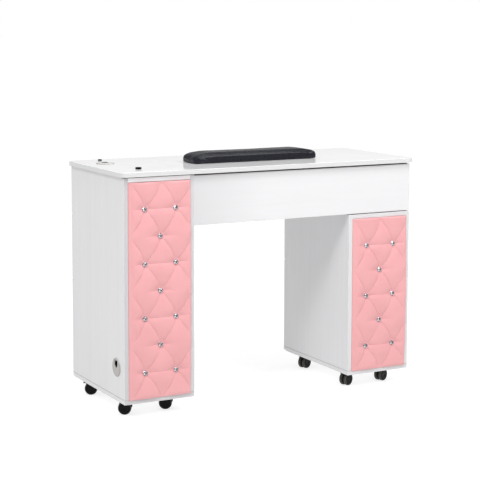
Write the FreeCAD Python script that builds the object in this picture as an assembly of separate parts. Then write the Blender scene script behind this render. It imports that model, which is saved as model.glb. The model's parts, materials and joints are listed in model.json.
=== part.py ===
"""Manicure table: a worktop on two wheeled pedestals joined by an apron.

Millimetres.  +X is to the right of a client who faces the table, -Y is the client's side with the
tufted panels, +Y is the technician's side with the drawers, +Z is up.  The origin is on the floor
below the middle of the table's bounding box.
"""

import FreeCAD, Part
import math
import os
from FreeCAD import Vector

# Worktop
TOP_WIDTH = 1100.0
TOP_DEPTH = 450.0
BOARD = 15.0                 # thickness of every laminated board
TOP_CORNER_RADIUS = 22.0
TOP_EDGE_ROUND = 1.0
BOARD_EDGE = 0.8             # bevel of the edge banding on every carcass board
REVEAL = 3.0                 # shadow gap between the carcass and the worktop
SIDE_OVERHANG = 13.0
FRONT_OVERHANG = 12.0

# Carcass, measured up from the floor
CASTER_HEIGHT = 50.0
CARCASS_HEIGHT = 719.0
PEDESTAL_WIDTH = 245.0
CARCASS_DEPTH = 421.5        # depth of the boards without the drawer fronts
RIGHT_PEDESTAL_HEIGHT = 553.0
APRON_GAP = 3.0              # line between the right pedestal and the apron above it
APRON_DROP = 2.5             # distance of its top below the pedestals' tops
TOP_RAIL_DEPTH = 60.0

# Fronts on the technician's side
FRONT_GAP = 1.5              # bumper gap between a front and the board edges behind it
ROW_LOWER = 338.0            # height of the joint between a door and the drawer above it
ROW_UPPER = 556.0            # height of the joint below the top row of drawers
REVEAL_BETWEEN_FRONTS = 1.5  # half of the gap between two fronts
DOOR_BOTTOM = 3.0
KNOB_PROJECTION = 22.0

# Drawers and their runners
DRAWER_WALL = 12.0
DRAWER_BOTTOM = 4.0
DRAWER_DEPTH = 385.0
DRAWER_SIDE_CLEARANCE = 12.7
RUNNER_HEIGHT = 45.0
RUNNER_LENGTH = 350.0
RUNNER_SHEET = 1.5

# Tufted panels
BACKER = 9.0
PAD_BACK = 9.0               # distance of the pad's back behind the board edges
PAD_PROUD = 3.0              # distance of the pad's face in front of the board edges
BUTTON_RADIUS = 8.5
BUTTON_HEIGHT = 5.5
BUTTON_STEM_RADIUS = 1.5
BUTTON_ROW_PITCH = 87.0
BUTTON_FIRST_ROW = 96.0
BUTTON_COLUMN_OFFSET = 54.0
BUTTON_PATTERN_SHIFT = 3.0

# Casters
WHEEL_RADIUS = 21.5
WHEEL_WIDTH = 11.5
WHEEL_INNER_FACE = 4.5       # distance of a wheel's inner face from the caster's middle plane
WEB_THICKNESS = 8.0
CASTER_TRAIL = 18.0
AXLE_RADIUS = 3.0
AXLE_SOCKET = 7.0            # depth of the axle's socket in each wheel
STEM_RADIUS = 4.0
RUNNING_CLEARANCE = 0.08
PLATE_SIZE = 50.0
PLATE_THICKNESS = 2.0
PLATE_SCREW_SPACING = 38.0
CASTER_INSET_X = 50.5
CASTER_FRONT_Y = 70.0
CASTER_REAR_Y = 350.0
LEFT_CASTER_HEADING = 152.0  # direction in plan from a swivel axis to its wheels, left pedestal
RIGHT_CASTER_HEADING = 203.0

# Holes and cable grommets
GROMMET_RADIUS = 30.0
GROMMET_TUBE_RADIUS = 27.0
GROMMET_BORE_RADIUS = 22.0
GROMMET_LIP = 2.5
CAP_RADIUS = 25.5
CAP_THICKNESS = 1.5
CAP_SLOT_WIDTH = 22.0
CAP_SLOT_CENTRE = 10.0       # centre of the slot's round end, from the cap's centre
TOP_GROMMET = (64.0, 294.0)  # from the carcass's front left corner
SIDE_GROMMET = (62.0, 110.0) # depth and height on the left side
SMALL_HOLE = (86.0, 392.0, 5.2)
LARGE_HOLE = (87.0, 80.0, 7.7)

# Armrest
ARMREST_LENGTH = 470.0
ARMREST_DEPTH = 108.0
ARMREST_FRONT = 129.0        # distance of its front behind the carcass's front
ARMREST_SHIFT = 11.0         # distance of its middle to the right of the table's middle
CUSHION_TOP = 35.0           # above the worktop
CUSHION_HEM = 1.5            # gap between its lower edge and the worktop
CUSHION_CORNER_RADIUS = 18.0
CUSHION_EDGE_ROUND = 9.0
ARMREST_BOARD = 4.0
ARMREST_FOOT = 2.0
ARMREST_BOARD_INSET = 18.0

# Fasteners
DOWEL_RADIUS = 4.0
DOWEL_LENGTH = 26.0
DOWEL_END = 10.0             # length of dowel inside the face of a side board
DOWEL_CLEARANCE = 0.05
SPACER_RADIUS = 7.0

CARCASS_WIDTH = TOP_WIDTH - 2 * SIDE_OVERHANG
RIGHT_START = CARCASS_WIDTH - PEDESTAL_WIDTH
INNER_WIDTH = PEDESTAL_WIDTH - 2 * BOARD
FRONT_PLANE = CARCASS_DEPTH + FRONT_GAP
FULL_DEPTH = TOP_DEPTH + KNOB_PROJECTION
UNDER_TOP = CARCASS_HEIGHT + REVEAL

# Carcass coordinates start at the front left corner under the base board.
CARCASS_ORIGIN = Vector(-CARCASS_WIDTH / 2, FRONT_OVERHANG - FULL_DEPTH / 2, CASTER_HEIGHT)

X_AXIS = Vector(1, 0, 0)
Y_AXIS = Vector(0, 1, 0)
Z_AXIS = Vector(0, 0, 1)


def box(x, y, z):
    """A box from three (low, high) ranges."""
    size = (x[1] - x[0], y[1] - y[0], z[1] - z[0])
    return Part.makeBox(*size, Vector(x[0], y[0], z[0]))


def board(x, y, z):
    """A laminated board: a box whose edges are bevelled a little by the edge banding."""
    plain = box(x, y, z)
    return plain.makeChamfer(BOARD_EDGE, plain.Edges)


def rod(radius, length, start, axis):
    return Part.makeCylinder(radius, length, Vector(*start), axis)


def cut(body, tools):
    return body.cut(tools) if tools else body


def rounded_slab(x, y, z, radius):
    """A box with its four upright edges rounded."""
    slab = box(x, y, z)
    upright = [e for e in slab.Edges if abs(e.Vertexes[0].Z - e.Vertexes[1].Z) > 0.1]
    return slab.makeFillet(radius, upright)


def revolve_profile(points, axis_start, axis):
    """Turn a closed outline, given in the XZ plane, once round an axis."""
    outline = Part.makePolygon([Vector(x, 0, z) for x, z in points + points[:1]])
    return Part.Face(outline).revolve(Vector(*axis_start), axis, 360)


def turned(shape, degrees):
    """A copy turned about the upright axis through the origin."""
    copy = shape.copy()
    copy.rotate(Vector(0, 0, 0), Z_AXIS, degrees)
    return copy


def moved(shape, x, y, z):
    copy = shape.copy()
    copy.translate(Vector(x, y, z))
    return copy


def place_along(shape, start, axis):
    """A copy whose +Z direction points along an axis from a start point."""
    copy = shape.copy()
    turn = FreeCAD.Rotation(Z_AXIS, axis)
    copy.Placement = FreeCAD.Placement(Vector(*start), turn).multiply(copy.Placement)
    return copy


# Dowels ---------------------------------------------------------------------------------------

def panel_dowel_places():
    """Start point and direction of each dowel that joins two carcass boards."""
    places = []
    depths = (70.0, 350.0)
    for start, level in shelf_levels():
        middle = level + BOARD / 2
        for depth in depths:
            left_end = start + BOARD - DOWEL_END
            right_end = start + PEDESTAL_WIDTH - BOARD + DOWEL_END
            places.append(((left_end, depth, middle), X_AXIS))
            places.append(((right_end, depth, middle), -X_AXIS))
    for start in (0.0, RIGHT_START):
        for edge in (BOARD / 2, PEDESTAL_WIDTH - BOARD / 2):
            for depth in (30.0, 385.0):
                places.append(((start + edge, depth, BOARD - DOWEL_END), Z_AXIS))
    for edge in (BOARD / 2, PEDESTAL_WIDTH - BOARD / 2):
        for depth in (110.0, 300.0):
            foot = RIGHT_PEDESTAL_HEIGHT - DOWEL_END
            places.append(((RIGHT_START + edge, depth, foot), Z_AXIS))
        for height in (600.0, 680.0):
            places.append(((RIGHT_START + edge, BOARD - DOWEL_END, height), Y_AXIS))
    for height in (600.0, 680.0):
        places.append(((PEDESTAL_WIDTH - DOWEL_END, BOARD / 2, height), X_AXIS))
    for depth in (20.0, 45.0):
        left = (BOARD - DOWEL_END, depth, CARCASS_HEIGHT - BOARD / 2)
        right = (PEDESTAL_WIDTH - BOARD + DOWEL_END, depth, CARCASS_HEIGHT - BOARD / 2)
        places.append((left, X_AXIS))
        places.append((right, -X_AXIS))
    return places


def shelf_levels():
    """Left edge and underside of each full board held between two pedestal sides."""
    middle = RIGHT_PEDESTAL_HEIGHT - BOARD
    return (
        (0.0, ROW_LOWER - BOARD / 2),
        (0.0, ROW_UPPER - BOARD / 2),
        (RIGHT_START, ROW_LOWER - BOARD / 2),
        (RIGHT_START, middle),
    )


def worktop_dowel_places():
    """Plan position of each spacer dowel between the carcass and the worktop."""
    left_inner = PEDESTAL_WIDTH - BOARD / 2
    right_inner = RIGHT_START + BOARD / 2
    right_outer = CARCASS_WIDTH - BOARD / 2
    upright_edges = (BOARD / 2, left_inner, right_inner, right_outer)
    return [(x, y) for x in upright_edges for y in (150.0, 370.0)]


def dowel_holes():
    """Cutters for every dowel, a little wider than the dowels."""
    radius = DOWEL_RADIUS + DOWEL_CLEARANCE
    cutters = []
    for start, axis in panel_dowel_places():
        foot = Vector(*start) - axis * 0.5
        cutters.append(Part.makeCylinder(radius, DOWEL_LENGTH + 1.0, foot, axis))
    for x, y in worktop_dowel_places():
        foot = CARCASS_HEIGHT - DOWEL_END - 0.5
        cutters.append(rod(radius, DOWEL_LENGTH - 4.0, (x, y, foot), Z_AXIS))
    return cutters


def panel_dowels():
    return [Part.makeCylinder(DOWEL_RADIUS, DOWEL_LENGTH, Vector(*start), axis)
            for start, axis in panel_dowel_places()]


def worktop_dowel(x, y):
    """A dowel with a collar that holds the worktop clear of the carcass."""
    pin = rod(DOWEL_RADIUS, DOWEL_LENGTH - 5.0, (x, y, CARCASS_HEIGHT - DOWEL_END), Z_AXIS)
    collar = rod(SPACER_RADIUS, REVEAL, (x, y, CARCASS_HEIGHT), Z_AXIS)
    return pin.fuse(collar).removeSplitter()


# Carcass boards -------------------------------------------------------------------------------

def worktop(holes):
    x = (-SIDE_OVERHANG, CARCASS_WIDTH + SIDE_OVERHANG)
    y = (-FRONT_OVERHANG, TOP_DEPTH - FRONT_OVERHANG)
    z = (UNDER_TOP, UNDER_TOP + BOARD)
    slab = rounded_slab(x, y, z, TOP_CORNER_RADIUS)
    rim = [e for e in slab.Edges if all(abs(v.Z - z[1]) < 0.01 for v in e.Vertexes)]
    slab = slab.makeFillet(TOP_EDGE_ROUND, rim)
    openings = [(*TOP_GROMMET, GROMMET_TUBE_RADIUS), SMALL_HOLE, LARGE_HOLE]
    drills = [rod(r, BOARD + 2, (hx, hy, z[0] - 1), Z_AXIS) for hx, hy, r in openings]
    return cut(slab, drills + holes)


def side_board(x, z, holes, front=0.0):
    return cut(board((x, x + BOARD), (front, CARCASS_DEPTH), z), holes)


def left_outer_side(holes):
    side = side_board(0.0, (BOARD, CARCASS_HEIGHT), holes)
    depth, height = SIDE_GROMMET
    return side.cut(rod(GROMMET_TUBE_RADIUS, BOARD + 2, (-1, depth, height), X_AXIS))


def left_inner_side(holes):
    return side_board(PEDESTAL_WIDTH - BOARD, (BOARD, CARCASS_HEIGHT), holes)


def right_pedestal_sides(holes):
    z = (BOARD, RIGHT_PEDESTAL_HEIGHT)
    return [side_board(RIGHT_START, z, holes), side_board(CARCASS_WIDTH - BOARD, z, holes)]


def right_upper_sides(holes):
    z = (RIGHT_PEDESTAL_HEIGHT, CARCASS_HEIGHT)
    return [side_board(x, z, holes, front=BOARD)
            for x in (RIGHT_START, CARCASS_WIDTH - BOARD)]


def base_boards(holes):
    return [cut(board((x, x + PEDESTAL_WIDTH), (0, CARCASS_DEPTH), (0, BOARD)), holes)
            for x in (0.0, RIGHT_START)]


def pedestal_top_boards(holes):
    """The left pedestal has a front rail and the right one a whole board."""
    left_x = (BOARD, PEDESTAL_WIDTH - BOARD)
    rail = board(left_x, (0, TOP_RAIL_DEPTH), (CARCASS_HEIGHT - BOARD, CARCASS_HEIGHT))
    right_x = (RIGHT_START + BOARD, CARCASS_WIDTH - BOARD)
    right_z = (RIGHT_PEDESTAL_HEIGHT - BOARD, RIGHT_PEDESTAL_HEIGHT)
    top = board(right_x, (0, CARCASS_DEPTH), right_z)
    return [cut(rail, holes), cut(top, holes)]


def divider_shelves(holes):
    front = PAD_BACK + BACKER
    shelves = []
    for start, level in shelf_levels()[:3]:
        x = (start + BOARD, start + PEDESTAL_WIDTH - BOARD)
        shelves.append(cut(board(x, (front, CARCASS_DEPTH), (level, level + BOARD)), holes))
    return shelves


def apron_board(holes):
    z = (RIGHT_PEDESTAL_HEIGHT + APRON_GAP, CARCASS_HEIGHT - APRON_DROP)
    apron = board((PEDESTAL_WIDTH, CARCASS_WIDTH), (0, BOARD), z)
    return cut(apron, holes)


# Tufted panels --------------------------------------------------------------------------------

def panel_height(start):
    """Top of the opening that holds a tufted panel."""
    top = CARCASS_HEIGHT if start == 0.0 else RIGHT_PEDESTAL_HEIGHT
    return top - BOARD


def button_places(start):
    """Plan of the buttons on one panel: rows of two and rows of one in turn."""
    middle = start + PEDESTAL_WIDTH / 2 + BUTTON_PATTERN_SHIFT
    places = []
    row = 0
    height = BUTTON_FIRST_ROW
    while height < panel_height(start) - BUTTON_ROW_PITCH / 2:
        if row % 2:
            places.append((middle, height))
        else:
            places.append((middle - BUTTON_COLUMN_OFFSET, height))
            places.append((middle + BUTTON_COLUMN_OFFSET, height))
        row += 1
        height += BUTTON_ROW_PITCH
    return places


def backer_board(start):
    x = (start + BOARD, start + PEDESTAL_WIDTH - BOARD)
    y = (PAD_BACK, PAD_BACK + BACKER)
    backer = box(x, y, (BOARD, panel_height(start)))
    radius = BUTTON_STEM_RADIUS + DOWEL_CLEARANCE
    drills = [rod(radius, BACKER + 2, (bx, y[0] - 1, bz), Y_AXIS)
              for bx, bz in button_places(start)]
    return backer.cut(drills)


def tufted_pad(start):
    inset = 0.3
    x = (start + BOARD + inset, start + PEDESTAL_WIDTH - BOARD - inset)
    z = (BOARD + inset, panel_height(start) - inset)
    pad = box(x, (-PAD_PROUD, PAD_BACK), z)
    pockets = []
    for bx, bz in button_places(start):
        pockets.append(rod(BUTTON_RADIUS + inset, PAD_PROUD + 1.5, (bx, -PAD_PROUD - 1, bz), Y_AXIS))
        pockets.append(rod(BUTTON_STEM_RADIUS + inset, PAD_BACK + 5, (bx, -4, bz), Y_AXIS))
    return pad.cut(pockets)


def polygon_ring(radius, depth, count, phase):
    """Points of a regular polygon that faces the client."""
    step = 2 * math.pi / count
    return [Vector(radius * math.cos(step * (k + phase)), depth, radius * math.sin(step * (k + phase)))
            for k in range(count)]


def crystal_button():
    """A cut stone with a flat table, a faceted crown and a stem behind it."""
    count = 12
    back = 0.4
    rings = [
        polygon_ring(BUTTON_RADIUS, back, count, 0.0),
        polygon_ring(BUTTON_RADIUS, back - 1.6, count, 0.0),
        polygon_ring(BUTTON_RADIUS * 0.72, back - 4.2, count, 0.5),
        polygon_ring(BUTTON_RADIUS * 0.42, back - BUTTON_HEIGHT, count, 0.0),
    ]
    faces = [polygon_face(rings[0]), polygon_face(rings[-1])]
    for k in range(count):
        n = (k + 1) % count
        lower, girdle, crown, table = rings
        faces.append(polygon_face([lower[k], lower[n], girdle[n], girdle[k]]))
        faces.append(polygon_face([girdle[k], girdle[n], crown[k]]))
        faces.append(polygon_face([girdle[n], crown[n], crown[k]]))
        faces.append(polygon_face([crown[k], crown[n], table[n]]))
        faces.append(polygon_face([crown[k], table[n], table[k]]))
    stone = Part.Solid(Part.Shell(faces))
    if stone.Volume < 0:
        stone.reverse()
    stem = rod(BUTTON_STEM_RADIUS, PAD_BACK + BACKER - 0.5, (0, 0, 0), Y_AXIS)
    return stone.fuse(stem)


def polygon_face(points):
    return Part.Face(Part.makePolygon(points + points[:1]))


def crystal_buttons():
    pattern = crystal_button()
    return [moved(pattern, x, 0, z) for start in (0.0, RIGHT_START) for x, z in button_places(start)]


# Grommets -------------------------------------------------------------------------------------

def grommet_sleeve():
    """Lip on top of z = 0, tube below it, and a recess for the cap."""
    lip = rod(GROMMET_RADIUS, GROMMET_LIP, (0, 0, 0), Z_AXIS)
    rim = [e for e in lip.Edges if abs(e.BoundBox.ZMin - GROMMET_LIP) < 0.01 and len(e.Vertexes) == 1]
    lip = lip.makeFillet(1.2, rim)
    tube = rod(GROMMET_TUBE_RADIUS, BOARD, (0, 0, -BOARD), Z_AXIS)
    bore = rod(GROMMET_BORE_RADIUS, BOARD + GROMMET_LIP + 2, (0, 0, -BOARD - 1), Z_AXIS)
    recess_radius = CAP_RADIUS + RUNNING_CLEARANCE
    recess = rod(recess_radius, CAP_THICKNESS + 1, (0, 0, GROMMET_LIP - CAP_THICKNESS), Z_AXIS)
    return lip.fuse(tube).cut([bore, recess])


def grommet_cap():
    """A disc that turns in the sleeve, with a skirt below and a slot for the cable."""
    low = GROMMET_LIP - CAP_THICKNESS
    disc = rod(CAP_RADIUS, CAP_THICKNESS, (0, 0, low), Z_AXIS)
    skirt_radius = GROMMET_BORE_RADIUS - RUNNING_CLEARANCE
    skirt = rod(skirt_radius, 6.0, (0, 0, low - 6.0), Z_AXIS)
    skirt = skirt.cut(rod(skirt_radius - 1.8, 8.0, (0, 0, low - 7.0), Z_AXIS))
    half = CAP_SLOT_WIDTH / 2
    slot = box((-half, half), (CAP_SLOT_CENTRE, CAP_RADIUS + 1), (low - 8.0, GROMMET_LIP + 1))
    round_end = rod(half, GROMMET_LIP + 9.0 - low, (0, CAP_SLOT_CENTRE, low - 8.0), Z_AXIS)
    return disc.fuse(skirt).cut([slot, round_end])


def grommet_frames():
    """Outer face centre and outward direction of the worktop and side grommets."""
    top = ((*TOP_GROMMET, UNDER_TOP + BOARD), Z_AXIS)
    side = ((0.0, *SIDE_GROMMET), -X_AXIS)
    return top, side


def top_grommet_cap():
    start, axis = grommet_frames()[0]
    return place_along(turned(grommet_cap(), -15.0), start, axis)


def side_grommet_cap():
    """The slot points up."""
    start, axis = grommet_frames()[1]
    return place_along(turned(grommet_cap(), -90.0), start, axis)


# Casters --------------------------------------------------------------------------------------
# A caster is drawn with its swivel axis on Z, the floor at z = 0 and its wheels towards +X.

def caster_plate():
    half = PLATE_SIZE / 2
    low = CASTER_HEIGHT - PLATE_THICKNESS
    plate = rounded_slab((-half, half), (-half, half), (low, CASTER_HEIGHT), 4.0)
    collar = rod(8.0, low - 44.3, (0, 0, 44.3), Z_AXIS)
    bore = rod(STEM_RADIUS + RUNNING_CLEARANCE, 10.0, (0, 0, 43.0), Z_AXIS)
    drills = [rod(2.0, 4.0, (x, y, low - 1), Z_AXIS) for x, y in plate_screw_places()]
    return plate.fuse(collar).cut([bore] + drills)


def plate_screw_places():
    half = PLATE_SCREW_SPACING / 2
    return [(x, y) for x in (-half, half) for y in (-half, half)]


def caster_screw():
    low = CASTER_HEIGHT - PLATE_THICKNESS
    head = rod(3.6, 1.5, (0, 0, low - 1.5), Z_AXIS)
    shank = rod(1.9, 11.0, (0, 0, low), Z_AXIS)
    return head.fuse(shank)


def caster_hood(with_tab):
    """The web between the wheels, the fender over them and the swivel stem."""
    half = WEB_THICKNESS / 2
    centre = (CASTER_TRAIL, -half, WHEEL_RADIUS)
    web = rod(WHEEL_RADIUS - 3.0, WEB_THICKNESS, centre, Y_AXIS)
    neck = box((-6.0, CASTER_TRAIL), (-half, half), (WHEEL_RADIUS + 2, 43.0))
    reach = WHEEL_INNER_FACE + WHEEL_WIDTH - 1.0
    start = (CASTER_TRAIL, -reach, WHEEL_RADIUS)
    fender = rod(WHEEL_RADIUS + 2.4, 2 * reach, start, Y_AXIS)
    fender = fender.cut(rod(WHEEL_RADIUS + 0.8, 2 * reach, start, Y_AXIS))
    fender_end = WHEEL_RADIUS + 19.0
    fender = fender.common(box((-20, 60), (-30, 30), (fender_end, 60.0)))
    bridge = box((CASTER_TRAIL - 6, CASTER_TRAIL + 6), (-half, half),
                 (WHEEL_RADIUS + 10, WHEEL_RADIUS + 22.8))
    tower_foot = WHEEL_RADIUS + 19.0
    tower = rod(8.0, 44.0 - tower_foot, (0, 0, tower_foot), Z_AXIS)
    stem = rod(STEM_RADIUS, CASTER_HEIGHT - 44.5, (0, 0, 44.0), Z_AXIS)
    pieces = [neck, fender, bridge, tower, stem]
    if with_tab:
        tail = CASTER_TRAIL + 16.0
        pieces.append(box((tail, tail + 11.0), (-7.0, 7.0), (38.5, 41.0)).common(
            rod(14.5, 6.0, (CASTER_TRAIL + 12.5, 0, 37.0), Z_AXIS)))
        pieces.append(box((CASTER_TRAIL + 8, tail + 1.0), (-half, half), (36.0, 41.0)))
    axle_hole = rod(AXLE_RADIUS + RUNNING_CLEARANCE, 2 * half + 2,
                    (CASTER_TRAIL, -half - 1, WHEEL_RADIUS), Y_AXIS)
    return web.fuse(pieces).cut(axle_hole).removeSplitter()


def caster_wheel():
    """One wheel with its inner face at z = 0, a rounded tread and a groove round its hub."""
    r = WHEEL_RADIUS
    w = WHEEL_WIDTH
    outline = [
        (0.0, 0.0), (r - 1.2, 0.0), (r, 1.2), (r, w - 4.5), (r - 0.7, w - 2.4), (r - 2.4, w - 0.7),
        (r - 4.5, w - 0.6), (r - 5.2, w - 1.6), (r - 6.2, w - 1.6), (r - 6.8, w - 0.2), (0.0, w),
    ]
    wheel = revolve_profile(outline, (0, 0, 0), Z_AXIS)
    return wheel.cut(rod(AXLE_RADIUS, AXLE_SOCKET, (0, 0, 0), Z_AXIS))


def caster_wheels():
    """Both wheels and the axle pressed into them."""
    half = WHEEL_INNER_FACE + AXLE_SOCKET
    axle = rod(AXLE_RADIUS, 2 * half, (CASTER_TRAIL, -half, WHEEL_RADIUS), Y_AXIS)
    near = place_along(caster_wheel(), (CASTER_TRAIL, -WHEEL_INNER_FACE, WHEEL_RADIUS), -Y_AXIS)
    far = place_along(caster_wheel(), (CASTER_TRAIL, WHEEL_INNER_FACE, WHEEL_RADIUS), Y_AXIS)
    return Part.makeCompound([axle, near, far])


def caster_places():
    """Name, plan position, heading and brake tab of each caster."""
    places = []
    for pedestal, start, heading in (("left", 0.0, LEFT_CASTER_HEADING),
                                     ("right", RIGHT_START, RIGHT_CASTER_HEADING)):
        for depth_name, y in (("front", CASTER_FRONT_Y), ("rear", CASTER_REAR_Y)):
            for side, x in (("outer" if start == 0.0 else "inner", CASTER_INSET_X),
                            ("inner" if start == 0.0 else "outer", PEDESTAL_WIDTH - CASTER_INSET_X)):
                name = f"{pedestal}_{depth_name}_{side}"
                places.append((name, start + x, y, heading, depth_name == "rear"))
    return places


def on_caster(shape, x, y, heading):
    return moved(turned(shape, heading), x, y, -CASTER_HEIGHT)


# Drawers and doors ----------------------------------------------------------------------------

def drawer_specs():
    """Name, compartment between its side boards, front extent and box height of each drawer."""
    g = REVEAL_BETWEEN_FRONTS
    left = (BOARD, PEDESTAL_WIDTH - BOARD)
    centre = (PEDESTAL_WIDTH, RIGHT_START)
    right = (RIGHT_START + BOARD, CARCASS_WIDTH - BOARD)
    left_front = (g, PEDESTAL_WIDTH - g)
    centre_front = (PEDESTAL_WIDTH + g, RIGHT_START - g)
    right_front = (RIGHT_START + g, CARCASS_WIDTH - g)
    upper = (ROW_UPPER + g, CARCASS_HEIGHT - g)
    lower = (ROW_LOWER + g, ROW_UPPER - g)
    return (
        ("left_top_drawer", left, left_front, upper, (575.0, 690.0)),
        ("left_middle_drawer", left, left_front, lower, (358.0, 520.0)),
        ("centre_drawer", centre, centre_front, upper, (575.0, 690.0)),
        ("right_top_drawer", right, right_front, upper, (575.0, 690.0)),
        ("right_middle_drawer", right, right_front, lower, (358.0, 520.0)),
    )


def front_board(x, z):
    """A front with slightly rounded outer edges and a hole for the knob's screw."""
    front = box(x, (FRONT_PLANE, FRONT_PLANE + BOARD), z)
    outer = FRONT_PLANE + BOARD
    rim = [e for e in front.Edges if all(abs(v.Y - outer) < 0.01 for v in e.Vertexes)]
    return front.makeFillet(1.0, rim)


def drill_for_knob(front, x, z):
    return front.cut(rod(2.1, BOARD + 2, (x, FRONT_PLANE - 1, z), Y_AXIS))


def knob(x, z):
    """A turned knob with its screw through the front."""
    outer = BOARD
    outline = [
        (0.0, -3.0), (4.0, -3.0), (4.0, -0.2), (2.0, -0.2), (2.0, outer), (7.5, outer),
        (6.0, outer + 2.5), (5.0, outer + 8.0), (6.5, outer + 11.0), (11.0, outer + 13.5),
        (12.5, outer + 16.5), (11.5, outer + 20.0), (8.0, outer + KNOB_PROJECTION - 0.6),
        (0.0, outer + KNOB_PROJECTION),
    ]
    turned_knob = revolve_profile(outline, (0, 0, 0), Z_AXIS)
    return place_along(turned_knob, (x, FRONT_PLANE, z), Y_AXIS)


def knob_place(x, z):
    return (x[0] + x[1]) / 2, (z[0] + z[1]) / 2


def drawer_box(compartment, z):
    """Two sides, an inner front, a back and a bottom, each a board of its own."""
    x = (compartment[0] + DRAWER_SIDE_CLEARANCE, compartment[1] - DRAWER_SIDE_CLEARANCE)
    y = (FRONT_PLANE - DRAWER_DEPTH, FRONT_PLANE)
    inner_x = (x[0] + DRAWER_WALL, x[1] - DRAWER_WALL)
    sides = [board((edge, edge + DRAWER_WALL), y, z) for edge in (x[0], x[1] - DRAWER_WALL)]
    back = board(inner_x, (y[0], y[0] + DRAWER_WALL), z)
    inner_front = board(inner_x, (y[1] - DRAWER_WALL, y[1]), z)
    knob_x = (compartment[0] + compartment[1]) / 2
    head = rod(5.0, 4.0, (knob_x, y[1] - 4.0, (ROW_UPPER + CARCASS_HEIGHT) / 2), Y_AXIS)
    low_head = rod(5.0, 4.0, (knob_x, y[1] - 4.0, (ROW_LOWER + ROW_UPPER) / 2), Y_AXIS)
    inner_front = inner_front.cut([head, low_head])
    floor_y = (y[0] + DRAWER_WALL, y[1] - DRAWER_WALL)
    bottom = box(inner_x, floor_y, (z[0] + 6.0, z[0] + 6.0 + DRAWER_BOTTOM))
    return sides + [back, inner_front, bottom]


def runner_level(z):
    """Underside of the runners of a drawer box."""
    return z[0] + 20.0


def runner_y():
    end = FRONT_PLANE - 25.0
    return (end - RUNNER_LENGTH, end)


def fixed_runners(compartment, z):
    """Two channels on the side boards, open towards the drawer."""
    low = runner_level(z)
    depth = DRAWER_SIDE_CLEARANCE - 1.2
    channels = []
    for edge, inward in ((compartment[0], 1), (compartment[1], -1)):
        outer = sorted((edge, edge + inward * depth))
        pocket = sorted((edge + inward * RUNNER_SHEET, edge + inward * (depth + 1)))
        channel = box(outer, runner_y(), (low, low + RUNNER_HEIGHT))
        inside = (low + RUNNER_SHEET, low + RUNNER_HEIGHT - RUNNER_SHEET)
        channels.append(channel.cut(box(pocket, (0.0, FRONT_PLANE + 50), inside)))
    return channels


def moving_runners(compartment, z):
    """Two bars on the drawer's sides that slide inside the channels."""
    low = runner_level(z) + RUNNER_SHEET + 1.0
    high = runner_level(z) + RUNNER_HEIGHT - RUNNER_SHEET - 1.0
    near = DRAWER_SIDE_CLEARANCE
    far = RUNNER_SHEET + 1.0
    bars = []
    for edge, inward in ((compartment[0], 1), (compartment[1], -1)):
        x = sorted((edge + inward * far, edge + inward * near))
        bars.append(box(x, runner_y(), (low, high)))
    return bars


def door_specs():
    """Name, front extent and hinge side of each door."""
    g = REVEAL_BETWEEN_FRONTS
    return (
        ("left_door", (g, PEDESTAL_WIDTH - g), -1),
        ("right_door", (RIGHT_START + g, CARCASS_WIDTH - g), 1),
    )


DOOR_Z = (DOOR_BOTTOM, ROW_LOWER - REVEAL_BETWEEN_FRONTS)
PIVOT_INSET = 4.0
PIVOT_RADIUS = 2.0
PIVOT_PIN_LENGTH = 8.0


def pivot_place(x, hinge_side):
    """Plan position of a door's pivot pins."""
    edge = x[0] if hinge_side < 0 else x[1]
    return edge - hinge_side * PIVOT_INSET, FRONT_PLANE + BOARD / 2


def door_panel(x, hinge_side):
    panel = front_board(x, DOOR_Z)
    px, py = pivot_place(x, hinge_side)
    radius = PIVOT_RADIUS + RUNNING_CLEARANCE
    depth = PIVOT_PIN_LENGTH + 1.0
    low = rod(radius, depth + 1, (px, py, DOOR_Z[0] - 1), Z_AXIS)
    high = rod(radius, depth + 1, (px, py, DOOR_Z[1] - depth), Z_AXIS)
    return panel.cut([low, high])


def door_knob_place(x, hinge_side):
    free_edge = x[1] if hinge_side < 0 else x[0]
    return free_edge + hinge_side * 32.0, DOOR_Z[1] - 60.0


def pivot_bracket(x, hinge_side, at_top):
    """A leaf over or under the door's edge, a tab on the carcass and a pivot pin."""
    px, py = pivot_place(x, hinge_side)
    inward = -hinge_side
    leaf_x = sorted((px - inward * 2.5, px + inward * 20.0))
    tab_x = sorted((px + inward * 6.0, px + inward * 20.0))
    if at_top:
        leaf_z = (DOOR_Z[1] + 0.5, DOOR_Z[1] + 2.3)
        tab_z = (DOOR_Z[1] - 14.0, leaf_z[1])
        pin_start = DOOR_Z[1] - PIVOT_PIN_LENGTH
    else:
        leaf_z = (DOOR_Z[0] - 2.3, DOOR_Z[0] - 0.5)
        tab_z = (leaf_z[0], DOOR_Z[0] + 11.0)
        pin_start = leaf_z[0]
    leaf = box(leaf_x, (CARCASS_DEPTH, py + 4.0), leaf_z)
    tab = box(tab_x, (CARCASS_DEPTH, CARCASS_DEPTH + 1.2), tab_z)
    pin = rod(PIVOT_RADIUS, PIVOT_PIN_LENGTH + 2.3, (px, py, pin_start), Z_AXIS)
    return leaf.fuse([tab, pin]).removeSplitter()


# Armrest --------------------------------------------------------------------------------------

def armrest_plan(inset):
    """Extent of the armrest in plan, drawn in by an inset."""
    middle = CARCASS_WIDTH / 2 + ARMREST_SHIFT
    half = ARMREST_LENGTH / 2 - inset
    return (middle - half, middle + half), (ARMREST_FRONT + inset, ARMREST_FRONT + ARMREST_DEPTH - inset)


def armrest_board(inset):
    """The board the cushion is stretched over, drawn in by an inset."""
    x, y = armrest_plan(inset)
    low = UNDER_TOP + BOARD + ARMREST_FOOT
    return rounded_slab(x, y, (low, low + ARMREST_BOARD), 14.0)


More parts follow.
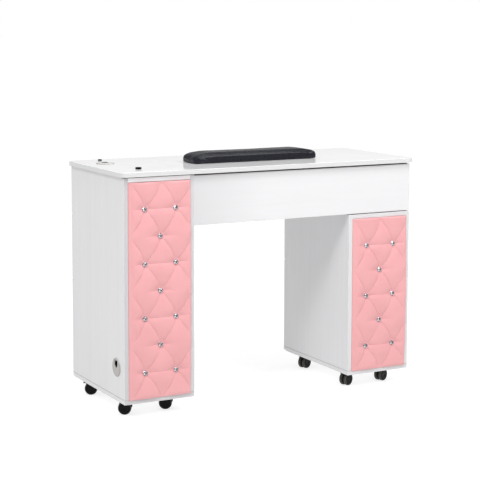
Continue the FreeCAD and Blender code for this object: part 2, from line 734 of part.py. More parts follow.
def armrest_cushion():
    """A cushion whose underside is hollowed out for the board."""
    x, y = armrest_plan(0.0)
    low = UNDER_TOP + BOARD
    cushion = rounded_slab(x, y, (low + CUSHION_HEM, low + CUSHION_TOP), CUSHION_CORNER_RADIUS)
    rim = [e for e in cushion.Edges if all(abs(v.Z - low - CUSHION_TOP) < 0.01 for v in e.Vertexes)]
    cushion = cushion.makeFillet(CUSHION_EDGE_ROUND, rim)
    inset = ARMREST_BOARD_INSET - RUNNING_CLEARANCE
    hollow = rounded_slab(*armrest_plan(inset), (low, low + ARMREST_FOOT + ARMREST_BOARD), 14.0)
    return cushion.cut(hollow)


def armrest_base():
    """The board under the cushion with six short feet."""
    x, y = armrest_plan(ARMREST_BOARD_INSET)
    feet = [rod(7.0, ARMREST_FOOT, (foot_x, foot_y, UNDER_TOP + BOARD), Z_AXIS)
            for foot_x in (x[0] + 32.0, sum(x) / 2, x[1] - 32.0)
            for foot_y in (y[0] + 14.0, y[1] - 14.0)]
    return armrest_board(ARMREST_BOARD_INSET).fuse(feet)


# All sub-parts --------------------------------------------------------------------------------

def carcass_parts():
    holes = dowel_holes()
    return {
        "worktop": [worktop(holes)],
        "worktop_dowels": [worktop_dowel(x, y) for x, y in worktop_dowel_places()],
        "panel_dowels": panel_dowels(),
        "pedestal_base_boards": base_boards(holes + caster_screw_holes()),
        "pedestal_top_boards": pedestal_top_boards(holes),
        "divider_shelves": divider_shelves(holes),
        "left_outer_side": [left_outer_side(holes)],
        "left_inner_side": [left_inner_side(holes)],
        "right_pedestal_sides": right_pedestal_sides(holes),
        "right_upper_sides": right_upper_sides(holes),
        "apron_board": [apron_board(holes)],
        "left_backer_board": [backer_board(0.0)],
        "right_backer_board": [backer_board(RIGHT_START)],
        "left_tufted_pad": [tufted_pad(0.0)],
        "right_tufted_pad": [tufted_pad(RIGHT_START)],
        "crystal_buttons": crystal_buttons(),
        "grommet_sleeves": [place_along(grommet_sleeve(), start, axis)
                            for start, axis in grommet_frames()],
        "top_grommet_cap": [top_grommet_cap()],
        "side_grommet_cap": [side_grommet_cap()],
        "armrest_cushion": [armrest_cushion()],
        "armrest_base": [armrest_base()],
    }


def caster_screw_holes():
    return [rod(1.95, 12.0, (x + sx, y + sy, -1.0), Z_AXIS)
            for _, x, y, _, _ in caster_places() for sx, sy in plate_screw_places()]


def caster_parts():
    parts = {"caster_plates": [], "caster_screws": []}
    for name, x, y, heading, with_tab in caster_places():
        parts["caster_plates"].append(moved(caster_plate(), x, y, -CASTER_HEIGHT))
        for sx, sy in plate_screw_places():
            parts["caster_screws"].append(moved(caster_screw(), x + sx, y + sy, -CASTER_HEIGHT))
        parts[f"{name}_caster_hood"] = [on_caster(caster_hood(with_tab), x, y, heading)]
        parts[f"{name}_caster_wheels"] = [on_caster(caster_wheels(), x, y, heading)]
    return parts


def drawer_parts():
    parts = {"runner_rails": []}
    for name, compartment, front_x, front_z, box_z in drawer_specs():
        knob_x, knob_z = knob_place(front_x, front_z)
        front = drill_for_knob(front_board(front_x, front_z), knob_x, knob_z)
        parts[f"{name}_front"] = [front]
        parts[f"{name}_box"] = drawer_box(compartment, box_z)
        parts[f"{name}_knob_and_runners"] = (
            [knob(knob_x, knob_z)] + moving_runners(compartment, box_z))
        parts["runner_rails"] += fixed_runners(compartment, box_z)
    return parts


def door_parts():
    parts = {"door_pivot_brackets": []}
    for name, x, hinge_side in door_specs():
        knob_x, knob_z = door_knob_place(x, hinge_side)
        parts[f"{name}_panel"] = [drill_for_knob(door_panel(x, hinge_side), knob_x, knob_z)]
        parts[f"{name}_knob"] = [knob(knob_x, knob_z)]
        parts["door_pivot_brackets"] += [pivot_bracket(x, hinge_side, top) for top in (False, True)]
    return parts


def solids_of(shapes):
    """Every solid in a list of shapes, placed in the table's frame."""
    solids = [solid for shape in shapes for solid in shape.Solids]
    return [moved(solid, *CARCASS_ORIGIN) for solid in solids]


def main():
    os.makedirs("parts", exist_ok=True)
    parts = {**carcass_parts(), **caster_parts(), **drawer_parts(), **door_parts()}
    for name, shapes in parts.items():
        solids = solids_of(shapes)
        shape = solids[0] if len(solids) == 1 else Part.makeCompound(solids)
        if not shape.isValid():
            print("invalid shape:", name)
        shape.exportStep(os.path.join("parts", f"{name}.step"))
    print(len(parts), "sub-parts")


main()
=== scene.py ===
"""Looks of the manicure table: materials, tufted panels, armrest, caster wheels, light and camera.

Metres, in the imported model's frame: +X is the client's right, -Y the client's side, +Z up.
"""

import json
import math

import bpy
import numpy as np
from mathutils import Matrix, Vector


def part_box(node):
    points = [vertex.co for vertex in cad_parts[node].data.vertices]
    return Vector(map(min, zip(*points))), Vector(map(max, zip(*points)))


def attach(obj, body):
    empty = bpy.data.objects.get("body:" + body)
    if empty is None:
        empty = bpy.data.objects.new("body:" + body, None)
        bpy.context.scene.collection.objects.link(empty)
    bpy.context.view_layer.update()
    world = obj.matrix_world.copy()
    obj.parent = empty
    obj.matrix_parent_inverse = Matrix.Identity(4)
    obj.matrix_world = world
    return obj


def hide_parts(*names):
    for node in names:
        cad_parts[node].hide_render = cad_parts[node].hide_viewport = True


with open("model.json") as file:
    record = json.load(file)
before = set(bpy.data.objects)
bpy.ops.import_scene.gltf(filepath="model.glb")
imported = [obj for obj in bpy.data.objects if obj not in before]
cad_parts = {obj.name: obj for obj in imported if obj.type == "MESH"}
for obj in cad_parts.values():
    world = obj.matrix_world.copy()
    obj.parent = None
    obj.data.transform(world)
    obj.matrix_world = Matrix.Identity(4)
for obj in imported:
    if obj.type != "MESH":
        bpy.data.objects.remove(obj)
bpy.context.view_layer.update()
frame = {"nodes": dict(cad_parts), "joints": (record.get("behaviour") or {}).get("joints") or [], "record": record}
MM = 0.001
UNDER_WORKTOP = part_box("worktop")[0].z
WORKTOP_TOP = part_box("worktop")[1].z
LEFT_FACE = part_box("left_outer_side")[0].x
BASE_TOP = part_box("pedestal_base_boards")[1].z
SEAM_REACH = 0.9 * MM          # half height of the seam above the base boards
TOP_BOARD_REACH = 16 * MM      # height of the boards right under the worktop, and a little more
FRONT_SHADE_REACH = 0.5        # distance over which the painted shade at the fronts' left end fades
CAP_REACH = 25.6 * MM          # a grommet cap's radius with its running gap
CAP_TOP = 2.5 * MM             # its height over the board

# Colours, as linear RGB
WHITE_BOARD = (0.645, 0.641, 0.651)
WHITE_BOARD_SHADE = (0.622, 0.617, 0.627)
# painted shade on the front faces of the carcass boards' edges
FRONT_EDGE_PAINTED_SHADE = (0.575, 0.569, 0.580)
TOP_BOARD_PAINTED_LIGHT = (0.80, 0.79, 0.80)      # painted light: brighter, to offset the shade the worktop casts on it
FRONT_PAINTED_SHADE = (0.470, 0.462, 0.472)      # painted shade of the fronts at the table's left end
SEAM_GREY = (0.40, 0.39, 0.39)
# raw board edge with painted shade of the gap under the worktop, far darker than the chipboard
RAW_EDGE_AND_GAP_SHADE = (0.115, 0.080, 0.060)
WORKTOP_WHITE = (0.80, 0.80, 0.805)
WORKTOP_VEIN = (0.695, 0.695, 0.707)
# painted shade of the worktop's edges and underside
WORKTOP_PAINTED_SHADE = (0.56, 0.56, 0.565)
# black lining of the lamp holes, and painted shade down inside the grommets
BLACK_LINING_AND_PAINTED_SHADE = (0.006, 0.006, 0.006)
PINK = (0.696, 0.341, 0.351)
PINK_SHADE = (0.640, 0.298, 0.308)
BLACK_VINYL = (0.005, 0.005, 0.009)
BLACK_VINYL_WORN = (0.010, 0.011, 0.018)
GROMMET_GREY = (0.35, 0.338, 0.322)
GROMMET_GREY_SHADE = (0.33, 0.318, 0.302)
# painted light on the grommets' upward faces
GROMMET_PAINTED_LIGHT = (0.62, 0.615, 0.60)
HUB_BLACK = (0.003, 0.003, 0.0034)
HUB_BLACK_WORN = (0.006, 0.006, 0.0065)
TREAD_GREY = (0.032, 0.029, 0.026)
TREAD_DUST = (0.056, 0.051, 0.046)
DOWEL_BEECH = (0.62, 0.45, 0.27)
DOWEL_BEECH_SHADE = (0.48, 0.33, 0.18)
CHIPBOARD = (0.42, 0.30, 0.18)
CHIPBOARD_SHADE = (0.30, 0.20, 0.11)
BLACK_STAIN = (0.030, 0.030, 0.032)
BLACK_STAIN_SHADE = (0.018, 0.018, 0.020)
ZINC = (0.50, 0.50, 0.51)
ZINC_STAIN = (0.36, 0.36, 0.38)
CHROME = (0.80, 0.80, 0.82)
CHROME_STAIN = (0.70, 0.70, 0.72)
# painted reflections of the crystal facets, dark and bright
STONE_PAINTED_DARK_REFLECTION = (0.045, 0.04, 0.05)
STONE_PAINTED_BRIGHT_REFLECTION = (0.66, 0.66, 0.70)
STONE_DUST = (0.7, 0.7, 0.72)
STONE_GIRDLE = (0.05, 0.05, 0.055)
PAPER = (0.40, 0.40, 0.40)
PAPER_SHADE = (0.37, 0.37, 0.37)

TURN_STEPS = 72               # segments of every turned piece

# Carcass boards whose thin edges face the client; their front faces carry painted shade
PAINTED_EDGE_SHADE_NODES = ("left_outer_side", "left_inner_side", "right_pedestal_sides",
                "pedestal_base_boards", "pedestal_top_boards")

# Tufted panels
PAD_GRID = 1.25 * MM          # spacing of the fabric's points
PILLOW_PRESSURE = 0.0090      # curvature of the free fabric, per millimetre
CREASE_MIDDLE = 4.6           # height of a diagonal crease half way between two buttons, mm
CREASE_BOW = 8.5              # sideways bow of a diagonal crease, mm
CREASE_DEPTH = 2.2            # extra depth of the fold itself, mm
CREASE_WIDTH = 1.3            # its half width, mm
ROW_VALLEY = 6.4              # depth of the level fold through a row of buttons, mm
ROW_REACH_ABOVE = 15.0        # distances over which it fades, mm
ROW_REACH_BELOW = 9.0
FOLD_LENGTH_BETWEEN = 70.0    # its reach between the two buttons and towards the sides, mm
FOLD_LENGTH_OUTSIDE = 40.0
PUCKER_HEIGHT = 0.10          # of the small puckers round each button, mm
SEAT_RADIUS = 8.0             # of the flat seat under each button, mm
MEMBRANE_ROUNDS = 2200        # of the relaxation that spreads the fabric
BUTTON_SEAT = 3.4 * MM        # depth of the buttons' seats behind the pad's foremost plane
CREASE_FADES = ((6.0, 26.0), (3.0, 12.0), (1.0, 7.0), (1.0, 9.0))   # left, right, bottom, top, mm

# The fabric's way over a border, against the share of the border's width: how far it has come
# inward, how far it bulges outward, its rise in millimetres and its share of the full height.
TIGHT_BORDER = {
    "share": (0.0, 0.08, 0.16, 0.27, 0.42, 0.60, 1.0),
    "inward": (0.0, 0.0, 0.0, 0.0, 0.05, 0.30, 1.0),
    "bulge": (0.0, 0.0, 0.65, 1.0, 0.85, 0.45, 0.0),
    "rise": (-2.4, 0.3, 0.5, 0.9, 0.7, 0.4, 0.0),
    "height": (0.0, 0.0, 0.0, 0.14, 0.48, 0.78, 1.0),
}
SLOPING_BORDER = {
    "share": (0.0, 0.04, 0.10, 0.20, 0.34, 0.62, 1.0),
    "inward": (0.0, 0.0, 0.04, 0.15, 0.31, 0.61, 1.0),
    "bulge": (0.0, 0.3, 1.0, 0.5, 0.1, 0.0, 0.0),
    "rise": (-2.4, 0.4, 1.0, 1.5, 1.5, 0.8, 0.0),
    "height": (0.0, 0.0, 0.0, 0.04, 0.10, 0.56, 1.0),
}
LEFT_BORDER = (SLOPING_BORDER, 26.0)     # with its width in millimetres
RIGHT_BORDER = (TIGHT_BORDER, 12.0)
BOTTOM_BORDER = (TIGHT_BORDER, 9.0)
TOP_BORDER = (TIGHT_BORDER, 5.0)

# How far each pad bulges over the boards, in millimetres
PAD_BULGES = {
    "left_tufted_pad": {"left": 0.8, "right": 0.5, "right_middle": 3.0, "bottom": 2.5, "top": 0.3},
    "right_tufted_pad": {"left": 1.0, "right": 1.5, "right_middle": 6.0, "bottom": 2.5, "top": 0.3},
}

# Cloth simulation
CLOTH_FRAMES = 20
CLOTH_STIFFNESS = 15          # against stretching; a third of it against shear
CLOTH_BENDING = 2.0
SWELL_STEP = 4                # coarseness of a pad's simulated sheet, in grid steps
PAD_PRESSURE = 4.0
PAD_SWELL = 1.2 * MM          # the furthest that a pad swells
ARMREST_PRESSURE = 4.0
ARMREST_SWELL = 2.5 * MM

# Armrest
LOAF_STEPS = 6                # segments of each rounded corner
ARMREST_INSET = 1.5 * MM      # room for the cover to swell into
ARMREST_CORNER = 16 * MM
ARMREST_ROLL = 10 * MM
ARMREST_VOXEL = 4.5 * MM      # size of the cover's cells before smoothing
ARMREST_END = 75 * MM         # length over which its ends slope down
ARMREST_END_DROP = 0.34       # share of its height lost at the very end
ARMREST_SEAM = 24 * MM        # height of the sewn edge above the lower one
ARMREST_HEM_DROP = 1.0 * MM   # how far the fabric hangs below the solid foam
ARMREST_POCKET = 16 * MM      # distance of the board's hollow from the sides
ARMREST_POCKET_DEPTH = 4.8 * MM   # its height above the cover's lower edge

# Black rims of the lamp holes: the record's bore, the rim's height and its wall, in millimetres
LAMP_RIMS = (("small_lamp_hole", 4.2, 1.2), ("large_lamp_hole", 5.8, 2.0))

# Studio
FLOOR_GLOW = 0.74
SKY_STEPS = ((0.0, 1.0), (0.05, 1.0), (0.16, 0.32), (0.6, 0.5), (1.0, 1.2))   # height, grey
LIGHTS = {   # place, the point it aims at, size in metres, power in watts
    "key": ((1.5, -2.8, 2.8), (0.1, 0.0, 0.4), (1.2, 1.0), 49.0),
    "side": ((-2.9, -1.7, 2.9), (-0.4, 0.0, 0.4), (0.8, 0.8), 46.0),
    "top": ((-0.1, -1.3, 3.2), (0.0, -0.2, 0.4), (2.0, 0.8), 38.0),
}

# Camera, from the fit of the board corners
CAMERA_PLACE = (-2.3254, -4.3075, 1.2583)
CAMERA_YAW = math.radians(28.296)
CAMERA_PITCH = math.radians(5.856)
CAMERA_ROLL = math.radians(0.126)
CAMERA_LENS = 108.28
CAMERA_SHIFT = -0.15


def bore_mount(name):
    """A mount of the record."""
    return next(m for m in frame["record"]["mounts"] if m["name"] == name)


def joint_named(name):
    """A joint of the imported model."""
    return next(j for j in frame["joints"] if j["name"] == name)


# Material building ----------------------------------------------------------------------------

class Recipe:
    """A procedural material under construction, in the object's own coordinates."""

    def __init__(self, name):
        self.material = bpy.data.materials.new(name)
        self.material.use_nodes = True
        self.nodes = self.material.node_tree.nodes
        self.links = self.material.node_tree.links
        self.shader = self.nodes["Principled BSDF"]
        self.coords = self.nodes.new("ShaderNodeTexCoord").outputs["Object"]

    def stretched(self, scale):
        """Object coordinates scaled along X, Y and Z."""
        mapping = self.nodes.new("ShaderNodeMapping")
        mapping.inputs["Scale"].default_value = scale
        self.links.new(self.coords, mapping.inputs["Vector"])
        return mapping.outputs["Vector"]

    def noise(self, scale, detail=4.0, roughness=0.55, distortion=0.0, vector=None):
        """Fractal noise from 0 to 1."""
        node = self.nodes.new("ShaderNodeTexNoise")
        node.inputs["Scale"].default_value = scale
        node.inputs["Detail"].default_value = detail
        node.inputs["Roughness"].default_value = roughness
        node.inputs["Distortion"].default_value = distortion
        self.links.new(vector or self.coords, node.inputs["Vector"])
        return node.outputs["Fac"]

    def cells(self, scale, feature="F1", vector=None):
        """Distance to the nearest of scattered points."""
        node = self.nodes.new("ShaderNodeTexVoronoi")
        node.feature = feature
        node.inputs["Scale"].default_value = scale
        self.links.new(vector or self.coords, node.inputs["Vector"])
        return node.outputs["Distance"]

    def mapped(self, value, low, high, out_low, out_high):
        """A value carried from one range to another."""
        node = self.nodes.new("ShaderNodeMapRange")
        for name, number in (("From Min", low), ("From Max", high),
                             ("To Min", out_low), ("To Max", out_high)):
            node.inputs[name].default_value = number
        self.links.new(value, node.inputs["Value"])
        return node.outputs["Result"]

    def blended(self, factor, first, second):
        """A colour between two colours."""
        node = self.nodes.new("ShaderNodeMix")
        node.data_type = "RGBA"
        self.links.new(factor, node.inputs["Factor"])
        for socket, colour in ((node.inputs[6], first), (node.inputs[7], second)):
            if isinstance(colour, tuple):
                socket.default_value = (*colour, 1.0)
            else:
                self.links.new(colour, socket)
        return node.outputs[2]

    def combined(self, operation, first, second):
        """The result of a mathematical operation on values or numbers."""
        node = self.nodes.new("ShaderNodeMath")
        node.operation = operation
        for socket, value in ((node.inputs[0], first), (node.inputs[1], second)):
            if isinstance(value, (int, float)):
                socket.default_value = value
            else:
                self.links.new(value, socket)
        return node.outputs[0]

    def magnitude(self, value):
        """A value without its sign."""
        return self.combined("ABSOLUTE", value, 0.0)

    def along(self, vector, axis):
        """One component of a vector."""
        split = self.nodes.new("ShaderNodeSeparateXYZ")
        self.links.new(vector, split.inputs["Vector"])
        return split.outputs[axis]

    def beyond(self, axis, limit, comparison):
        """1 where the position along an axis passes a limit."""
        return self.combined(comparison, self.along(self.coords, axis), limit)

    def facing(self, axis, limit, comparison):
        """1 where the surface normal's component along an axis passes a limit."""
        normal = self.nodes.new("ShaderNodeTexCoord").outputs["Normal"]
        return self.combined(comparison, self.along(normal, axis), limit)

    def top_edges(self):
        """1 on the uncovered upper edges of the boards right under the worktop, 0 elsewhere."""
        high = self.beyond(2, UNDER_WORKTOP - 8 * MM, "GREATER_THAN")
        return self.combined("MULTIPLY", high, self.facing(2, 0.9, "GREATER_THAN"))

    def near_axis(self, place, reach):
        """1 closer to an upright axis than the reach, 0 elsewhere."""
        centred = self.nodes.new("ShaderNodeMapping")
        centred.inputs["Location"].default_value = (-place[0], -place[1], 0.0)
        centred.inputs["Scale"].default_value = (1.0, 1.0, 0.0)
        self.links.new(self.coords, centred.inputs["Vector"])
        length = self.nodes.new("ShaderNodeVectorMath")
        length.operation = "LENGTH"
        self.links.new(centred.outputs["Vector"], length.inputs[0])
        return self.combined("LESS_THAN", length.outputs["Value"], reach)

    def near_bore(self, mount):
        """1 inside and on the wall of a bore of the record, 0 elsewhere."""
        bore = bore_mount(mount)
        return self.near_axis(bore["pos_m"], (bore["dims"]["r_mm"] + 0.3) * MM)

    def set(self, **numbers):
        """Constant values on the shader's own sockets."""
        for name, number in numbers.items():
            self.shader.inputs[name.replace("_", " ")].default_value = number

    def colour(self, value):
        """The shader's base colour."""
        self.links.new(value, self.shader.inputs["Base Color"])

    def roughness(self, value):
        """The shader's roughness."""
        self.links.new(value, self.shader.inputs["Roughness"])

    def bump(self, height, distance, strength=1.0):
        """Relief of a given depth in metres."""
        node = self.nodes.new("ShaderNodeBump")
        node.inputs["Distance"].default_value = distance
        node.inputs["Strength"].default_value = strength
        self.links.new(height, node.inputs["Height"])
        self.links.new(node.outputs["Normal"], self.shader.inputs["Normal"])


def white_board(axis, painted_edge_shade):
    """Satin melamine with a faint grain along one axis; painted shade on the front faces, deeper at the table's
    left end and on the carcass boards' edges, and painted light on the fronts right under the worktop.
    """
    r = Recipe(f"white_board_{'xyz'[axis]}{'_banded' if painted_edge_shade else ''}")
    stretch = [55.0, 55.0, 55.0]
    stretch[axis] = 2.2
    grain = r.noise(1.0, detail=5.0, roughness=0.65, distortion=0.4, vector=r.stretched(stretch))
    cloud = r.noise(5.0, detail=2.0)
    tone = r.combined("ADD", r.mapped(grain, 0.35, 0.7, 0.0, 0.7),
                      r.mapped(cloud, 0.3, 0.7, 0.0, 0.3))
    face = r.blended(tone, WHITE_BOARD, WHITE_BOARD_SHADE)
    front = r.facing(1, -0.9, "LESS_THAN")
    # painted shade: the carcass boards' front faces made greyer
    if painted_edge_shade:
        face = r.blended(front, face, FRONT_EDGE_PAINTED_SHADE)
    # painted shade on all front faces, deepest at the table's left end
    from_left = r.mapped(r.along(r.coords, 0), LEFT_FACE, LEFT_FACE + FRONT_SHADE_REACH, 1.0, 0.0)
    face = r.blended(r.combined("MULTIPLY", front, from_left), face, FRONT_PAINTED_SHADE)
    # painted light on the fronts right under the worktop, which the worktop shades
    if painted_edge_shade and axis == 0:
        high = r.beyond(2, UNDER_WORKTOP - TOP_BOARD_REACH, "GREATER_THAN")
        face = r.blended(r.combined("MULTIPLY", front, high), face, TOP_BOARD_PAINTED_LIGHT)
    from_seam = r.magnitude(r.combined("SUBTRACT", r.along(r.coords, 2), BASE_TOP))
    face = r.blended(r.combined("LESS_THAN", from_seam, SEAM_REACH), face, SEAM_GREY)
    # raw board with painted shade on the upper edges in the gap under the worktop
    r.colour(r.blended(r.top_edges(), face, RAW_EDGE_AND_GAP_SHADE))
    r.roughness(r.mapped(grain, 0.3, 0.7, 0.34, 0.46))
    peel = r.noise(900.0, detail=2.0)
    r.bump(r.combined("ADD", peel, r.combined("MULTIPLY", grain, 1.6)), 0.00004)
    r.set(Specular_IOR_Level=0.45)
    return r.material


def gloss_worktop():
    """Polished white laminate with a faint marble figure, painted shade on its edges and underside, and
    black-lined lamp holes.
    """
    r = Recipe("gloss_worktop")
    veins = r.noise(3.2, detail=7.0, roughness=0.6, distortion=1.6)
    vein = r.mapped(r.magnitude(r.combined("SUBTRACT", veins, 0.5)), 0.0, 0.035, 1.0, 0.0)
    patch = r.mapped(r.noise(2.1, detail=2.0), 0.48, 0.66, 0.0, 0.55)
    laminate = r.blended(r.combined("MULTIPLY", vein, patch), WORKTOP_WHITE, WORKTOP_VEIN)
    # painted shade on every face that doesn't face up
    laminate = r.blended(r.facing(2, 0.3, "LESS_THAN"), laminate, WORKTOP_PAINTED_SHADE)
    holes = r.combined("MAXIMUM", r.near_bore("small_lamp_hole"), r.near_bore("large_lamp_hole"))
    r.colour(r.blended(holes, laminate, BLACK_LINING_AND_PAINTED_SHADE))
    r.roughness(r.mapped(r.noise(9.0, detail=3.0), 0.3, 0.7, 0.06, 0.12))
    r.bump(r.noise(160.0, detail=1.0), 0.000015)
    r.set(Specular_IOR_Level=0.5)
    return r.material


def faux_leather(name, light, dark, grain, rough, relief, level):
    """Coated fabric with pebbled grain, soft wear and pores."""
    r = Recipe(name)
    warp = r.noise(grain * 0.35, detail=3.0)
    pebble = r.cells(grain, feature="SMOOTH_F1")
    pores = r.noise(grain * 1.9, detail=3.0, roughness=0.6)
    cloud = r.noise(9.0, detail=3.0)
    tone = r.combined("ADD", r.mapped(cloud, 0.3, 0.7, 0.0, 0.55),
                      r.mapped(pebble, 0.2, 0.7, 0.0, 0.35))
    r.colour(r.blended(tone, light, dark))
    r.roughness(r.mapped(warp, 0.3, 0.7, rough - 0.05, rough + 0.06))
    surface = r.combined("ADD", pebble, r.combined("MULTIPLY", pores, 0.5))
    r.bump(surface, relief)
    r.set(Specular_IOR_Level=level)
    return r.material


def crystal():
    """Foil-backed cut stone: each facet carries a painted reflection, light or dark by the way it is cut."""
    r = Recipe("crystal")
    geometry = r.nodes.new("ShaderNodeNewGeometry")
    facing = r.nodes.new("ShaderNodeVectorTransform")
    facing.vector_type = "NORMAL"
    facing.convert_from = "WORLD"
    facing.convert_to = "OBJECT"
    r.links.new(geometry.outputs["True Normal"], facing.inputs["Vector"])
    flash = r.nodes.new("ShaderNodeTexWhiteNoise")
    flash.noise_dimensions = "3D"
    snapped = r.nodes.new("ShaderNodeVectorMath")
    snapped.operation = "SNAP"
    snapped.inputs[1].default_value = (0.13, 0.13, 0.13)
    r.links.new(facing.outputs["Vector"], snapped.inputs[0])
    r.links.new(snapped.outputs["Vector"], flash.inputs["Vector"])
    split = r.nodes.new("ShaderNodeSeparateXYZ")
    r.links.new(facing.outputs["Vector"], split.inputs["Vector"])
    girdle = r.mapped(split.outputs["Y"], -0.25, -0.05, 0.0, 1.0)
    # painted reflections: each facet painted light or dark by its direction
    facets = r.blended(r.mapped(flash.outputs["Value"], 0.35, 0.95, 0.0, 1.0),
                       STONE_PAINTED_DARK_REFLECTION, STONE_PAINTED_BRIGHT_REFLECTION)
    dusted = r.blended(r.mapped(r.noise(700.0), 0.3, 0.7, 0.0, 0.12), facets, STONE_DUST)
    r.colour(r.blended(girdle, dusted, STONE_GIRDLE))
    r.roughness(r.mapped(r.noise(400.0), 0.3, 0.7, 0.04, 0.10))
    r.set(Metallic=0.75, Coat_Weight=1.0, Coat_Roughness=0.02)
    return r.material


def moulded_plastic(name, light, dark, rough, level, relief):
    """Moulded plastic with a fine spark-eroded texture and handling marks."""
    r = Recipe(name)
    cloud = r.noise(22.0, detail=4.0)
    r.colour(r.blended(r.mapped(cloud, 0.35, 0.7, 0.0, 1.0), light, dark))
    scuff = r.noise(60.0, detail=5.0, roughness=0.7)
    r.roughness(r.mapped(scuff, 0.3, 0.7, rough - 0.07, rough + 0.09))
    r.bump(r.noise(1500.0, detail=2.0), relief)
    r.set(Specular_IOR_Level=level)
    return r.material


def grommet_plastic():
    """Grey plastic, with painted light where it faces up and painted shade, black, down inside the grommets."""
    r = Recipe("grey_plastic")
    grey = r.blended(r.mapped(r.noise(22.0, detail=4.0), 0.35, 0.7, 0.0, 1.0), GROMMET_GREY,
                     GROMMET_GREY_SHADE)
    # painted light on the upward faces
    grey = r.blended(r.facing(2, 0.5, "GREATER_THAN"), grey, GROMMET_PAINTED_LIGHT)
    # painted shade: black down inside both grommets
    covered = r.combined("MAXIMUM", r.facing(2, 0.5, "LESS_THAN"),
                         r.beyond(2, WORKTOP_TOP + CAP_TOP - 0.3 * MM, "LESS_THAN"))
    top_grommet = joint_named("top_grommet_cap_turn")["pos_m"]
    inside_top = r.combined("MULTIPLY", r.near_axis(top_grommet, CAP_REACH), covered)
    inside_side = r.combined("MULTIPLY", r.beyond(0, LEFT_FACE + 2 * MM, "GREATER_THAN"),
                             r.beyond(0, LEFT_FACE + 25 * MM, "LESS_THAN"))
    r.colour(r.blended(r.combined("MAXIMUM", inside_top, inside_side), grey, BLACK_LINING_AND_PAINTED_SHADE))
    r.roughness(r.mapped(r.noise(60.0, detail=5.0, roughness=0.7), 0.3, 0.7, 0.18, 0.28))
    r.bump(r.noise(1500.0, detail=2.0), 0.00001)
    r.set(Specular_IOR_Level=0.5)
    return r.material


def bare_metal(name, light, dark, rough, stretch):
    """Metal with fine drawing marks and faint staining."""
    r = Recipe(name)
    marks = r.noise(1.0, detail=4.0, roughness=0.7, vector=r.stretched(stretch))
    stain = r.noise(30.0, detail=3.0)
    r.colour(r.blended(r.mapped(stain, 0.35, 0.7, 0.0, 1.0), light, dark))
    r.roughness(r.mapped(marks, 0.3, 0.7, rough * 0.75, rough * 1.3))
    r.bump(marks, 0.00001)
    r.set(Metallic=1.0)
    return r.material


def bare_wood(name, light, dark, stretch):
    """Unfinished wood or chipboard."""
    r = Recipe(name)
    fibre = r.noise(1.0, detail=6.0, roughness=0.7, distortion=0.8, vector=r.stretched(stretch))
    r.colour(r.blended(r.mapped(fibre, 0.3, 0.7, 0.0, 1.0), light, dark))
    r.roughness(r.mapped(fibre, 0.3, 0.7, 0.6, 0.8))
    r.bump(fibre, 0.00015)
    return r.material


def make_materials():
    """One material per slot; the white boards have one for each grain direction."""
    return {
        "white_board": [white_board(axis, painted_edge_shade=False) for axis in range(3)],
        "gloss_white_board": gloss_worktop(),
        "pink_faux_leather": faux_leather("pink_faux_leather", PINK, PINK_SHADE,
                                          grain=700.0, rough=0.46, relief=0.00006, level=0.35),
        "black_faux_leather": faux_leather("black_faux_leather", BLACK_VINYL, BLACK_VINYL_WORN,
                                           grain=520.0, rough=0.29, relief=0.00006, level=0.22),
        "crystal": crystal(),
        "dowel_wood": bare_wood("dowel_wood", DOWEL_BEECH, DOWEL_BEECH_SHADE, (300, 300, 12)),
        "raw_board": bare_wood("raw_board", CHIPBOARD, CHIPBOARD_SHADE, (140, 140, 140)),
        "grey_plastic": grommet_plastic(),
        "zinc_steel": bare_metal("zinc_steel", ZINC, ZINC_STAIN, rough=0.34, stretch=(80, 900, 900)),
        "chrome": bare_metal("chrome", CHROME, CHROME_STAIN, rough=0.10, stretch=(500, 500, 500)),
        "black_nylon": moulded_plastic("black_nylon", HUB_BLACK, HUB_BLACK_WORN,
                                       rough=0.38, level=0.10, relief=0.00003),
        "wheel_plastic": moulded_plastic("wheel_plastic", TREAD_GREY, TREAD_DUST,
                                         rough=0.50, level=0.3, relief=0.00006),
        "black_board": bare_wood("black_board", BLACK_STAIN, BLACK_STAIN_SHADE, (200, 200, 200)),
    }


def dress_cad_nodes(materials):
    """Give every CAD node the material of its slot."""
    painted_edge_shade = [white_board(axis, painted_edge_shade=True) for axis in range(3)]
    slots = {s["node"]: s["material_slot"] for s in frame["record"]["subparts"]}
    for name, piece in frame["nodes"].items():
        chosen = materials[slots[name]]
        if isinstance(chosen, list):
            low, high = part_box(name)
            size = high - low
            longest = max(range(3), key=lambda axis: size[axis])
            chosen = (painted_edge_shade if name in PAINTED_EDGE_SHADE_NODES else chosen)[longest]
        for slot in piece.material_slots:
            slot.material = chosen


# Mesh helpers ---------------------------------------------------------------------------------

def new_piece(name, vertices, faces, material, body, smooth=True):
    """A mesh piece in the table's frame that rides on a body."""
    mesh = bpy.data.meshes.new(name)
    mesh.from_pydata([tuple(v) for v in vertices], [], faces)
    mesh.update()
    mesh.materials.append(material)
    if smooth:
        mesh.polygons.foreach_set("use_smooth", [True] * len(mesh.polygons))
    piece = bpy.data.objects.new(name, mesh)
    bpy.context.scene.collection.objects.link(piece)
    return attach(piece, body)


def ring_faces(first, second, count):
    """Quads between two rings of vertices of the same length, given where each starts."""
    faces = []
    for k in range(count):
        n = (k + 1) % count
        faces.append((first + k, first + n, second + n, second + k))
    return faces


def turned_outline(outline, place, closed=False):
    """Vertices and faces of an outline of radii and heights in millimetres, turned round an axis."""
    vertices = []
    for radius, height in outline:
        for k in range(TURN_STEPS):
            angle = 2 * math.pi * k / TURN_STEPS
            point = Vector((radius * math.cos(angle), radius * math.sin(angle), height)) * MM
            vertices.append(place @ point)
    faces = []
    for ring in range(len(outline) - 1):
        faces += ring_faces(ring * TURN_STEPS, (ring + 1) * TURN_STEPS, TURN_STEPS)
    if closed:
        faces += ring_faces((len(outline) - 1) * TURN_STEPS, 0, TURN_STEPS)
    return vertices, faces


